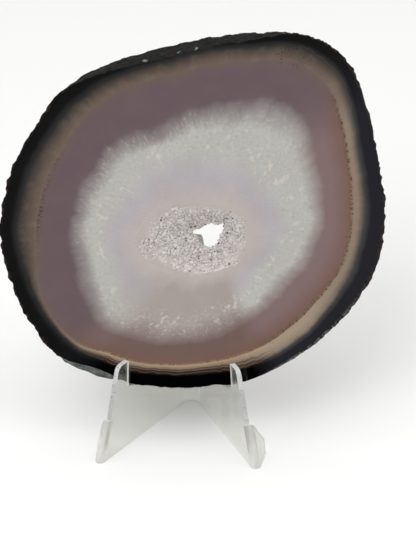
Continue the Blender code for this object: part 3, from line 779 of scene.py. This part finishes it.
# %% The finished slice
for material in (polished, rind, sawn, hollow_wall):
    slice_mesh.materials.append(material)
slice_mesh.shade_smooth()
slice_mesh.set_sharp_from_angle(angle=math.radians(50))
edge_points = np.empty(2 * len(slice_mesh.edges), np.int32)
slice_mesh.edges.foreach_get("vertices", edge_points)
edge_rings = edge_points.reshape(-1, 2) // SPOKES
sharp = np.empty(len(slice_mesh.edges), bool)
slice_mesh.attributes["sharp_edge"].data.foreach_get("value", sharp)
sharp |= (edge_rings == FRONT_RINGS - 1).all(axis=1)
slice_mesh.attributes["sharp_edge"].data.foreach_set("value", sharp)


def add_piece(name, mesh, node):
    """The finished piece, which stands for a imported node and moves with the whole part."""
    piece = bpy.data.objects.new(name, mesh)
    bpy.context.scene.collection.objects.link(piece)
    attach(piece, "root")
    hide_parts(node)
    print(name, "faces:", len(mesh.polygons))
    return piece


def volume(mesh):
    """Volume in cubic millimetres, which is negative where faces point inwards."""
    bm = bmesh.new()
    bm.from_mesh(mesh)
    size = bm.calc_volume(signed=True) / MM ** 3
    bm.free()
    return size


if volume(slice_mesh) < 0:
    slice_mesh.flip_normals()
print("slice volume in mm3:", round(volume(slice_mesh)))
add_piece("agate_slice_dressed", slice_mesh, "agate_slice")

# %% [markdown]
# ## The bed of the crystals
#
# Quartz crystals line the hollow as a thin crust. Its bed is a bumpy skin that starts level with
# the polished face at the hollow's rim, so that no step shows there, and thickens over the floor.
# It is a closed ring of points again, this time with the ragged hole in its middle.

# %% Bed of the crystals
BED_SPOKES = 300
BED_RINGS = 26
BED_CLEARANCE = 0.12
# Depths by share of the way from hole to rim, then bumps and the rim's straggle as (amount, size)
BED_DEPTHS = [(0.0, 3.0), (0.3, 2.0), (0.55, 1.1), (0.75, 0.36), (0.88, 0.07), (1.0, 0.01)]
BED_BUMPS = [(0.45, 2.1), (0.22, 0.9)]
RIM_STRAGGLE = [(0.30, 2.6), (0.16, 0.9)]


def bed_bump(right, up, share):
    bump = 0.0
    for height, size in BED_BUMPS:
        bump += height * noise.noise(Vector((right, up, 3.0)) / size)
    return bump * min(1.0, max(0.0, 0.9 - share) * 4)


# %% Mesh of the bed
bed_angles = np.arange(BED_SPOKES) / BED_SPOKES * math.tau
bed_outer = radius_towards(smooth_loop(HOLLOW_OUTLINE, 8), bed_angles) - 0.01
bed_inner = radius_towards(straight_loop(HOLE_OUTLINE, 8), bed_angles)
bed_places, bed_marks = [], []
for side in ("top", "under"):
    shares = np.linspace(0.0, 1.0, BED_RINGS)
    for share in (shares if side == "top" else shares[::-1]):
        reach = bed_inner + (bed_outer - bed_inner) * share
        spot_right = MIDDLE[0] + reach * np.cos(bed_angles)
        spot_up = MIDDLE[1] + reach * np.sin(bed_angles)
        past_hole = reach - bed_inner - HOLE_MARGIN
        floor_share = np.clip(past_hole / (bed_outer - bed_inner - HOLE_MARGIN), 0, 1)
        under = np.interp(floor_share, *zip(*HOLLOW_DEPTHS)) - BED_CLEARANCE
        under = np.maximum(under, 0.09)
        if side == "top":
            top = np.interp(share, *zip(*BED_DEPTHS))
            bumps = np.array([bed_bump(x, y, share) for x, y in zip(spot_right, spot_up)])
            under = np.clip(top + bumps, 0.01, under - 0.03)
        bed_places.append(slice_places(spot_right, spot_up, under))
        bed_marks.append(0)
bed_mesh = closed_rings("crystal_bed", np.stack(bed_places), np.array(bed_marks))
if volume(bed_mesh) < 0:
    bed_mesh.flip_normals()
grows = np.zeros(2 * BED_RINGS * BED_SPOKES)
grows[:(BED_RINGS - 1) * BED_SPOKES] = 1.0
store(bed_mesh, "grows", grows)
rim_share = np.tile(np.repeat(np.linspace(0.0, 1.0, BED_RINGS), BED_SPOKES), 2)
straggle = [sum(reach * noise.noise(vert.co / (size * MM)) for reach, size in RIM_STRAGGLE)
            for vert in bed_mesh.vertices]
store(bed_mesh, "rim_share", rim_share + np.array(straggle))

# %% [markdown]
# ## Quartz for the crystals
#
# Small quartz crystals are clear in themselves, but frost and flaws make a crust of them milky. So
# they let only a part of the light through. A few are painted dark, as shade in the gaps, and a few
# near-white, as glints. Towards the rim both the crystals and their bed take the colour of ground quartz.

# %% Materials of the crystals
GROUND_QUARTZ = tint(180, 171, 167)
quartz, tree, shader = new_material("quartz_crystal", {"IOR": AGATE_IOR, "Transmission Weight": 0.15})
frost = cloud(tree, add(tree, "ShaderNodeTexCoord").outputs["Object"], 1400.0, 2.0)
# The darkest tones are painted shade in the gaps and the lightest are painted glints; the rest is the
# crystals' own tone
crystal_colour = gradient(tree, attribute(tree, "tone"), [
    (0.0, tint(60, 48, 44)), (0.05, tint(104, 92, 87)), (0.06, tint(194, 187, 183)),
    (0.5, tint(206, 200, 197)), (0.985, tint(216, 211, 208)), (1.0, tint(236, 234, 232))])
frosted = rescale(tree, frost, 0.35, 0.7, 0.0, 0.25)
crystal_colour = blend_colour(tree, frosted, crystal_colour, tint(194, 185, 182))
near_rim = rescale(tree, attribute(tree, "rim_share"), 0.75, 1.0, 0.0, 0.7)
tree.links.new(blend_colour(tree, near_rim, crystal_colour, GROUND_QUARTZ), shader.inputs["Base Color"])
tree.links.new(rescale(tree, frost, 0.3, 0.7, 0.10, 0.28), shader.inputs["Roughness"])

bed_stone, tree, shader = new_material("crystal_bed", {"IOR": AGATE_IOR})
grain = cloud(tree, add(tree, "ShaderNodeTexCoord").outputs["Object"], 1500.0, 3.0, 0.6)
bed_colour = gradient(tree, grain, [(0.30, tint(160, 150, 146)), (0.5, tint(190, 182, 178)),
                                    (0.72, tint(206, 200, 197))])
near_rim = rescale(tree, attribute(tree, "rim_share"), 0.75, 0.95)
tree.links.new(blend_colour(tree, near_rim, bed_colour, GROUND_QUARTZ), shader.inputs["Base Color"])
tree.links.new(rescale(tree, near_rim, 0.0, 1.0, 0.35, 0.06), shader.inputs["Roughness"])
relief_here = rescale(tree, near_rim, 0.0, 1.0, 0.6, 0.0)
grain_relief = add(tree, "ShaderNodeBump", {"Height": grain, "Strength": relief_here, "Distance": 0.15 * MM})
tree.links.new(grain_relief.outputs[0], shader.inputs["Normal"])
bed_mesh.materials.append(bed_stone)
bed_mesh.materials.append(quartz)

# %% [markdown]
# ## Growing the crystals
#
# A quartz crystal is a six-sided column with a pyramid on it. Geometry Nodes scatter points over the
# bed, put one small crystal on each, tip it a little away from the surface's normal and vary its
# size. Near the rim the crystals shrink, as they do where the crust was ground away with the face.
# The tree has named inputs for its sizes and a fixed seed, and ends by making the crystals real.

# %% The tree that grows crystals
def tree_socket(tree, title, kind, value):
    socket = tree.interface.new_socket(title, in_out="INPUT", socket_type=kind)
    socket.default_value = value
    return socket


crystals = bpy.data.node_groups.new("grow_crystals", "GeometryNodeTree")
crystals.interface.new_socket("Bed", in_out="INPUT", socket_type="NodeSocketGeometry")
SPACING = tree_socket(crystals, "Spacing", FLOAT, 0.001)
GIRTH = tree_socket(crystals, "Girth", FLOAT, 0.001)
HEIGHT = tree_socket(crystals, "Height", FLOAT, 0.001)
TILT = tree_socket(crystals, "Tilt", FLOAT, 0.5)
SEED = tree_socket(crystals, "Seed", "NodeSocketInt", 0)
crystals.interface.new_socket("Crust", in_out="OUTPUT", socket_type="NodeSocketGeometry")
tree = crystals
given, result = tree.nodes.new("NodeGroupInput"), tree.nodes.new("NodeGroupOutput")


def named(name):
    node = add(tree, "GeometryNodeInputNamedAttribute", {"Name": name}, data_type="FLOAT")
    return node.outputs["Attribute"]


def ramp(value, low, high, new_low, new_high):
    return add(tree, "ShaderNodeMapRange", {0: value, 1: low, 2: high, 3: new_low, 4: new_high}).outputs[0]


def chance(low, high, offset, kind="FLOAT"):
    """A random number or vector for each crystal, from the tree's own seed."""
    node = add(tree, "FunctionNodeRandomValue", data_type=kind)
    first = 0 if kind == "FLOAT_VECTOR" else 2
    node.inputs[first].default_value = low
    node.inputs[first + 1].default_value = high
    seed = calculate(tree, "ADD", given.outputs["Seed"], offset)
    tree.links.new(seed, node.inputs["Seed"])
    return node.outputs[0 if kind == "FLOAT_VECTOR" else 1]


# %% Where the crystals stand: on the bed's upper side, and sparser near the rim
grows_here = add(tree, "FunctionNodeCompare", {0: named("grows"), 1: 0.5}, data_type="FLOAT",
                 operation="GREATER_THAN")
scatter = add(tree, "GeometryNodeDistributePointsOnFaces",
              {"Mesh": given.outputs["Bed"], "Selection": grows_here.outputs[0],
               "Distance Min": given.outputs["Spacing"], "Density Max": 4.0e6,
               "Density Factor": ramp(named("rim_share"), 0.62, 1.02, 1.0, 0.04),
               "Seed": given.outputs["Seed"]}, distribute_method="POISSON")

# %% One crystal, one unit wide and one unit tall: a column and its pyramid
COLUMN_HEIGHT, SHOULDER = 0.62, 0.46
column = add(tree, "GeometryNodeMeshCone", {"Vertices": 6, "Radius Bottom": 0.5, "Radius Top": SHOULDER,
                                            "Depth": COLUMN_HEIGHT}, fill_type="NONE")
tip = add(tree, "GeometryNodeMeshCone", {"Vertices": 6, "Radius Bottom": SHOULDER, "Radius Top": 0.0,
                                         "Depth": 1.0 - COLUMN_HEIGHT}, fill_type="NONE")
lifted = add(tree, "GeometryNodeTransform", {"Geometry": tip.outputs["Mesh"],
                                             "Translation": (0.0, 0.0, COLUMN_HEIGHT)})
crystal = add(tree, "GeometryNodeJoinGeometry")
tree.links.new(column.outputs["Mesh"], crystal.inputs[0])
tree.links.new(lifted.outputs[0], crystal.inputs[0])

# %% Size, small near the rim and slim where dark, and direction, along the bed's normal and tipped
# Each crystal's tone, whose two ends paint gap shade and glints
tone_shade_glint = chance(0.0, 1.0, 4)
girth = calculate(tree, "MULTIPLY", given.outputs["Girth"], chance(0.6, 1.25, 1))
girth = calculate(tree, "MULTIPLY", girth, ramp(tone_shade_glint, 0.05, 0.08, 0.45, 1.0))
tall = calculate(tree, "MULTIPLY", given.outputs["Height"], chance(0.45, 1.2, 2))
size = add(tree, "ShaderNodeCombineXYZ", {0: girth, 1: girth, 2: tall})
near_rim = ramp(named("rim_share"), 0.70, 1.0, 1.0, 0.35)
size = add(tree, "ShaderNodeVectorMath", {0: size.outputs[0], "Scale": near_rim}, operation="SCALE")
tip_angles = add(tree, "ShaderNodeVectorMath", {0: chance((-1, -1, -3.1), (1, 1, 3.1), 3, "FLOAT_VECTOR"),
                                                "Scale": given.outputs["Tilt"]}, operation="SCALE")
turned = add(tree, "FunctionNodeRotateRotation", {"Rotation": scatter.outputs["Rotation"],
                                                  "Rotate By": tip_angles.outputs[0]}, rotation_space="LOCAL")

# %% Planting the crystals on the bed
toned = add(tree, "GeometryNodeStoreNamedAttribute", {"Geometry": scatter.outputs["Points"], "Name": "tone",
                                                      "Value": tone_shade_glint}, data_type="FLOAT", domain="POINT")
planted = add(tree, "GeometryNodeInstanceOnPoints",
              {"Points": toned.outputs[0], "Instance": crystal.outputs[0],
               "Rotation": turned.outputs[0], "Scale": size.outputs[0]})
real = add(tree, "GeometryNodeRealizeInstances", {"Geometry": planted.outputs[0]})
flat = add(tree, "GeometryNodeSetShadeSmooth", {"Geometry": real.outputs[0], "Shade Smooth": False})
finished = add(tree, "GeometryNodeSetMaterial", {"Geometry": flat.outputs[0], "Material": quartz})
crust = add(tree, "GeometryNodeJoinGeometry")
tree.links.new(given.outputs["Bed"], crust.inputs[0])
tree.links.new(finished.outputs[0], crust.inputs[0])
tree.links.new(crust.outputs[0], result.inputs[0])

# %% The finished crust
CRYSTAL_SIZES = {SPACING: 0.70 * MM, GIRTH: 1.15 * MM, HEIGHT: 0.50 * MM, TILT: 0.26, SEED: 7}


def grown(mesh, node_tree, values):
    """The plain mesh that a Geometry Nodes tree makes from another mesh."""
    holder = bpy.data.objects.new("holder", mesh)
    bpy.context.scene.collection.objects.link(holder)
    modifier = holder.modifiers.new("grow", "NODES")
    modifier.node_group = node_tree
    for socket, value in values.items():
        modifier[socket.identifier] = value
    depsgraph = bpy.context.evaluated_depsgraph_get()
    made = bpy.data.meshes.new_from_object(holder.evaluated_get(depsgraph))
    bpy.data.objects.remove(holder)
    return made


crust_mesh = grown(bed_mesh, crystals, CRYSTAL_SIZES)
crust_mesh.name = "quartz_druse"
add_piece("quartz_druse", crust_mesh, "druse_crust")

# %% [markdown]
# ## The easel, cut flat and folded
#
# The real easel is cut from one flat sheet of clear plastic, warmed along three lines and bent: down
# its back into a V, and back on itself at each foot. Here it is made the same way. The outline is
# laid flat, scored where it will bend, given its thickness, and then every point is wrapped round
# the bends. The cut edges are marked before folding, because they get a finish of their own.

# %% Easel sizes, in millimetres
SHEET = 1.6
GAP = 0.3
WING_ANGLE = math.radians(28.9)
SPINE_RADIUS = 3.0
SPINE_STEPS = 14
SPINE_TOP_Z = 60.6
UPRIGHT_TOP_Z = 63.8
FRONT_LEAN = math.radians(19.2)
FOOT_REACH = 48.0
PRONG_TOP_Z = 29.6
PRONG_TOP_REACH = 32.8
FOLD_REACH = 49.4
FOLD_LEAN = math.radians(22.5)
EAR_FOLD = math.radians(142.0)
EAR_FOLD_RADIUS = 0.1
EAR_FOLD_STEPS = 12
EAR_TOP = 14.1
EAR_SLIT = 0.2
EAR_SLIT_DEPTH = 2.0
EAR_REAR_TOP = 7.2
EAR_REAR_OUT = 8.8
EAR_END_SLOPE = -0.26
TRIM = 4.0
LEDGE_RISE = 0.45


# %% Outline of the flat sheet
def flat_reach(reach):
    """Distance along the sheet for a reach measured from the back corner."""
    arc = (SPINE_RADIUS + SHEET / 2) * (math.pi / 2 - WING_ANGLE)
    return reach - SPINE_RADIUS / math.tan(WING_ANGLE) + arc


def rest_reach(z):
    """Reach of the upright's sloping edge, just behind the slice."""
    behind = (THICKNESS + GAP) / math.cos(LEAN)
    return (FRONT_FROM_CORNER - behind - (z - FRONT_EDGE_Z) * math.tan(LEAN)) / math.cos(WING_ANGLE)


def ledge_z(reach):
    """Height of the slot's floor, which is square to the leaning slice."""
    drop = (FRONT_FROM_CORNER - reach * math.cos(WING_ANGLE)) * math.tan(LEAN)
    return FRONT_EDGE_Z + LEDGE_RISE / math.cos(LEAN) - drop


def fold_point(along, out):
    """A point given along the foot's fold line and out past it."""
    reach = FOLD_REACH - along * math.sin(FOLD_LEAN) + out * math.cos(FOLD_LEAN)
    return reach, along * math.cos(FOLD_LEAN) + out * math.sin(FOLD_LEAN)


def round_corner(before, corner, after, radius, steps=8):
    """The arc that rounds one corner of an outline."""
    to_before, to_after = (before - corner).normalized(), (after - corner).normalized()
    half = to_before.angle(to_after) / 2
    cut = min(radius / math.tan(half), (before - corner).length / 2, (after - corner).length / 2)
    radius = cut * math.tan(half)
    centre = corner + (to_before + to_after).normalized() * radius / math.sin(half)
    start, end = corner + to_before * cut - centre, corner + to_after * cut - centre
    turn = -start.angle_signed(end)
    return [centre + Matrix.Rotation(turn * step / steps, 2) @ start for step in range(steps + 1)]


# %% Corners of the flat sheet, as (reach, height, radius of rounding)
SLOT_ROOM = 0.25
slot_front = (FRONT_FROM_CORNER + GAP + SLOT_ROOM + SHEET * math.sin(WING_ANGLE)) / math.cos(WING_ANGLE)
slot_back_z = ledge_z(rest_reach(FRONT_EDGE_Z))
prong_foot_z = (EAR_TOP + EAR_SLIT) * math.cos(FOLD_LEAN)
ear_bottom_out = EAR_REAR_OUT + (EAR_REAR_TOP + TRIM) * EAR_END_SLOPE
right_half = [
    (rest_reach(UPRIGHT_TOP_Z), UPRIGHT_TOP_Z, 1.6),
    (rest_reach(slot_back_z), slot_back_z, 0.5),
    (slot_front, ledge_z(slot_front), 0.7),
    (PRONG_TOP_REACH, PRONG_TOP_Z, 0.3),
    (FOOT_REACH - PRONG_TOP_Z * math.tan(FRONT_LEAN), PRONG_TOP_Z, 2.6),
    (FOOT_REACH - prong_foot_z * math.tan(FRONT_LEAN), prong_foot_z, 0.2),
    (*fold_point(EAR_TOP + EAR_SLIT, -EAR_SLIT_DEPTH), 0.1),
    (*fold_point(EAR_TOP, -EAR_SLIT_DEPTH), 0.1),
    (*fold_point(EAR_TOP, -EAR_FOLD_RADIUS), 0.6),
    (*fold_point(EAR_REAR_TOP, EAR_REAR_OUT), 1.0),
    (*fold_point(-TRIM, ear_bottom_out), 0.0),
    (*fold_point(-TRIM, -EAR_SLIT_DEPTH), 0.0),
]
right_half = [(flat_reach(reach), z, radius) for reach, z, radius in right_half]
left_half = [(-sideways, z, radius) for sideways, z, radius in reversed(right_half)]
corners = [(0.0, SPINE_TOP_Z, 0.0)] + right_half + [(0.0, -TRIM / 2, 0.0)] + left_half
points = [Vector(corner[:2]) for corner in corners]
sheet_outline = []
for index, corner in enumerate(corners):
    if corner[2] == 0.0:
        sheet_outline.append(points[index])
    else:
        after = points[(index + 1) % len(points)]
        sheet_outline += round_corner(points[index - 1], points[index], after, corner[2])
print("sheet outline points:", len(sheet_outline))

# %% Folding
FOLD_STARTS = -(EAR_FOLD_RADIUS + SHEET)
FOLD_LENGTH = (EAR_FOLD_RADIUS + SHEET / 2) * EAR_FOLD
SPINE_ARC = (SPINE_RADIUS + SHEET / 2) * (math.pi / 2 - WING_ANGLE)


def fold_ear(sideways, layer, z):
    """Folds the sheet back beyond the foot's leaning line. Layer runs from the V's inside out."""
    side = abs(sideways) - flat_reach(FOLD_REACH)
    along = -side * math.sin(FOLD_LEAN) + z * math.cos(FOLD_LEAN)
    out = side * math.cos(FOLD_LEAN) + z * math.sin(FOLD_LEAN)
    if out <= FOLD_STARTS or along >= EAR_TOP + EAR_SLIT / 2:
        return sideways, layer, z
    angle = min(out - FOLD_STARTS, FOLD_LENGTH) / (EAR_FOLD_RADIUS + SHEET / 2)
    straight = max(0.0, out - FOLD_STARTS - FOLD_LENGTH)
    radius = EAR_FOLD_RADIUS + SHEET - layer
    out = FOLD_STARTS + radius * math.sin(angle) + straight * math.cos(angle)
    layer = SHEET + EAR_FOLD_RADIUS - radius * math.cos(angle) + straight * math.sin(angle)
    side = -along * math.sin(FOLD_LEAN) + out * math.cos(FOLD_LEAN)
    return (math.copysign(flat_reach(FOLD_REACH) + side, sideways), layer,
            along * math.cos(FOLD_LEAN) + out * math.sin(FOLD_LEAN))


def bend_spine(sideways, layer, z):
    """Wraps the sheet round its back bend, into the V that stands on the table."""
    if abs(sideways) <= SPINE_ARC:
        angle = abs(sideways) / (SPINE_RADIUS + SHEET / 2)
        x = (SPINE_RADIUS + layer) * math.sin(angle)
        y = (SPINE_RADIUS + layer) * math.cos(angle) - SPINE_RADIUS / math.sin(WING_ANGLE)
    else:
        reach = SPINE_RADIUS / math.tan(WING_ANGLE) + abs(sideways) - SPINE_ARC
        x = reach * math.sin(WING_ANGLE) + layer * math.cos(WING_ANGLE)
        y = -reach * math.cos(WING_ANGLE) + layer * math.sin(WING_ANGLE)
    return Vector((EASEL_X / MM + math.copysign(x, sideways), CORNER_Y / MM + y, z)) * MM


# %% The sheet, scored where it bends and given its thickness
def cut_plane(bm, point, normal, **choices):
    geometry = bm.verts[:] + bm.edges[:] + bm.faces[:]
    return bmesh.ops.bisect_plane(bm, geom=geometry, plane_co=point, plane_no=normal, **choices)


bm = bmesh.new()
bm.faces.new([bm.verts.new((point.x, 0.0, point.y)) for point in sheet_outline])
for step in range(-SPINE_STEPS, SPINE_STEPS + 1):
    cut_plane(bm, (SPINE_ARC * step / SPINE_STEPS, 0.0, 0.0), (1.0, 0.0, 0.0), dist=1e-6)
for side in (-1.0, 1.0):
    for step in range(EAR_FOLD_STEPS + 1):
        reach, z = fold_point(0.0, FOLD_STARTS + FOLD_LENGTH * step / EAR_FOLD_STEPS)
        cut_plane(bm, (side * flat_reach(reach), 0.0, z),
                  (side * math.cos(FOLD_LEAN), 0.0, math.sin(FOLD_LEAN)), dist=1e-6)
for part in bmesh.ops.extrude_face_region(bm, geom=bm.faces[:])["geom"]:
    if isinstance(part, bmesh.types.BMVert):
        part.co.y = SHEET
bm.normal_update()

# %% Marking the cut edges and the folds, then folding
CLEAR, CUT_EDGE, FOLDED = 0, 1, 2
for face in bm.faces:
    middle = face.calc_center_median()
    past_line = (abs(middle.x) - flat_reach(FOLD_REACH)) * math.cos(FOLD_LEAN)
    past_fold = past_line + middle.z * math.sin(FOLD_LEAN) - FOLD_STARTS
    folded = 0.0 < past_fold < FOLD_LENGTH and middle.z < prong_foot_z
    face.material_index = CUT_EDGE if abs(face.normal.y) < 0.5 else (FOLDED if folded else CLEAR)
for vert in bm.verts:
    vert.co = bend_spine(*fold_ear(*vert.co))

# The feet are trimmed level with the table
trimmed = cut_plane(bm, (0.0, 0.0, 0.0), (0.0, 0.0, -1.0), dist=1e-7, clear_outer=True)
open_edges = [item for item in trimmed["geom_cut"] if isinstance(item, bmesh.types.BMEdge)]
for face in bmesh.ops.holes_fill(bm, edges=open_edges)["faces"]:
    face.material_index = CUT_EDGE
bmesh.ops.recalc_face_normals(bm, faces=bm.faces)
easel_mesh = bpy.data.meshes.new("clear_easel")
bm.to_mesh(easel_mesh)
bm.free()

# %% [markdown]
# ## Clear plastic
#
# Acrylic is clear right through, so it is shown by what it bends and mirrors. A slight grey keeps
# the sheet visible in front of a pale table. The cut edges were sawn and are a little rough, so
# they gather light and show as pale lines, which is how one sees such an easel at all. The tight
# folds of its feet turned slightly cloudy when they were heated.

# %% Materials of the easel
PLASTIC_IOR = 1.49
clear, tree, shader = new_material("clear_plastic", {
    "Base Color": tint(226, 226, 221), "Transmission Weight": 0.97, "IOR": PLASTIC_IOR})
wear = cloud(tree, add(tree, "ShaderNodeTexCoord").outputs["Object"], 160.0, 3.0, 0.6)
tree.links.new(rescale(tree, wear, 0.4, 0.7, 0.08, 0.18), shader.inputs["Roughness"])

cut_edge, tree, shader = new_material("cut_plastic_edge", {
    "Base Color": tint(226, 227, 225), "Transmission Weight": 0.5, "IOR": PLASTIC_IOR})
place = add(tree, "ShaderNodeTexCoord").outputs["Object"]
saw = cloud(tree, stretch(tree, place, (700.0, 700.0, 2600.0)), 1.0, 2.0)
tree.links.new(rescale(tree, saw, 0.3, 0.7, 0.25, 0.5), shader.inputs["Roughness"])

folded_plastic, tree, shader = new_material("folded_plastic", {
    "Base Color": tint(220, 219, 214), "Transmission Weight": 0.5, "IOR": PLASTIC_IOR, "Roughness": 0.22})

# %% The finished easel
EDGE_ROUNDING = 0.22 * MM
for material in (clear, cut_edge, folded_plastic):
    easel_mesh.materials.append(material)
easel_mesh.shade_smooth()
easel = add_piece("clear_easel", easel_mesh, "easel")
rounding = easel.modifiers.new("edge_rounding", "BEVEL")
rounding.width = EDGE_ROUNDING
rounding.segments = 2
rounding.limit_method = "ANGLE"
rounding.angle_limit = math.radians(40)
flat_faces = easel.modifiers.new("flat_faces", "WEIGHTED_NORMAL")
flat_faces.weight = 100
flat_faces.keep_sharp = True
print("easel faces before rounding:", len(easel_mesh.polygons))

# Clear plastic lets the light through, so it casts no dark shadow
easel.visible_shadow = False
